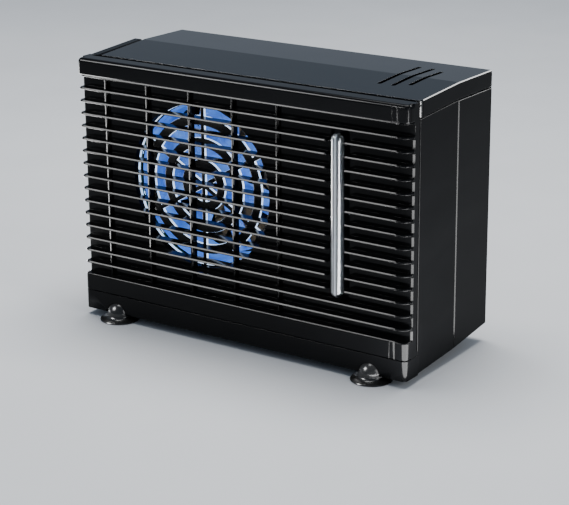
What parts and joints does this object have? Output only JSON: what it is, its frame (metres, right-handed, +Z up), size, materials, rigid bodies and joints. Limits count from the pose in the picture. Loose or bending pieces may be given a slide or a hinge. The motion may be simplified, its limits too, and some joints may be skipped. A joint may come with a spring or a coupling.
{
  "type": "evaporative air cooler",
  "caption": "Free-standing desktop evaporative air cooler: louvred front, fan behind a ring guard, wet pad, water tank with sight tube and hinged slotted lid.",
  "frame": {"origin": "on the resting surface, under the middle of the whole object's bounding box", "axes": "+X to the right seen from the front, +Y from the louvred front to the back, +Z up"},
  "size_m": [0.225, 0.1064, 0.16],
  "materials": {
    "black_gloss": "glossy black ABS with a light moulding texture",
    "black_satin": "satin black ABS",
    "clear_tube": "clear polished acrylic",
    "black_rubber": "soft black rubber",
    "steel": "bright steel",
    "blue_plastic": "translucent blue plastic, lit from in front",
    "magnet": "sintered ferrite",
    "bronze": "sintered bronze",
    "lamp_board": "white-coated ring board with blue lamps",
    "tank_plastic": "frosted polypropylene",
    "pad_fibre": "fluted cellulose fibre",
    "green_board": "solder-masked circuit board",
    "red_insulation": "red wire insulation"
  },
  "bodies": {
    "case": {"front_grille": "black_gloss", "fan_guard": "black_satin", "front_shell": "black_gloss", "rear_shell": "black_gloss", "sight_tube": "clear_tube", "tube_port_lower": "black_rubber", "tube_port_upper": "black_rubber", "hinge_pin_left": "steel", "hinge_pin_right": "steel", "foot_front_left": "black_rubber", "foot_rear_left": "black_rubber", "foot_front_right": "black_rubber", "foot_rear_right": "black_rubber", "fan_shroud": "black_satin", "motor_can": "steel", "motor_magnet_left": "magnet", "motor_magnet_right": "magnet", "motor_end_cap": "black_satin", "motor_bearing_front": "bronze", "motor_bearing_rear": "bronze", "lamp_ring": "lamp_board", "water_tank": "tank_plastic", "tank_outlet": "black_rubber", "drip_tray": "black_satin", "evaporative_pad": "pad_fibre", "pad_frame": "black_satin", "intake_grille": "black_satin", "switch_body": "black_satin", "power_inlet": "black_satin", "inlet_nut": "steel", "control_board": "green_board", "motor_lead_red": "red_insulation", "motor_lead_black": "black_rubber", "case_screw_1": "steel", "case_screw_2": "steel", "case_screw_3": "steel", "case_screw_4": "steel", "shroud_screw_1": "steel", "shroud_screw_2": "steel", "shroud_screw_3": "steel", "shroud_screw_4": "steel"},
    "lid": {"lid": "black_satin"},
    "rotor": {"fan_rotor": "blue_plastic", "motor_shaft": "steel", "motor_armature": "steel"},
    "rocker": {"switch_rocker": "black_gloss"}
  },
  "joints": [
    {"name": "lid_open", "type": "hinge", "parent": "case", "child": "lid", "pos_m": [0, 0.0508, 0.1558], "axis": [-1, 0, 0], "range_deg": [0, 100]},
    {"name": "fan_spin", "type": "hinge", "parent": "case", "child": "rotor", "pos_m": [-0.0285, -0.0194, 0.0912], "axis": [0, -1, 0], "continuous": true},
    {"name": "switch_tilt", "type": "hinge", "parent": "case", "child": "rocker", "pos_m": [0.084, 0.0471, 0.062], "axis": [1, 0, 0], "range_deg": [-8, 8]}
  ]
}
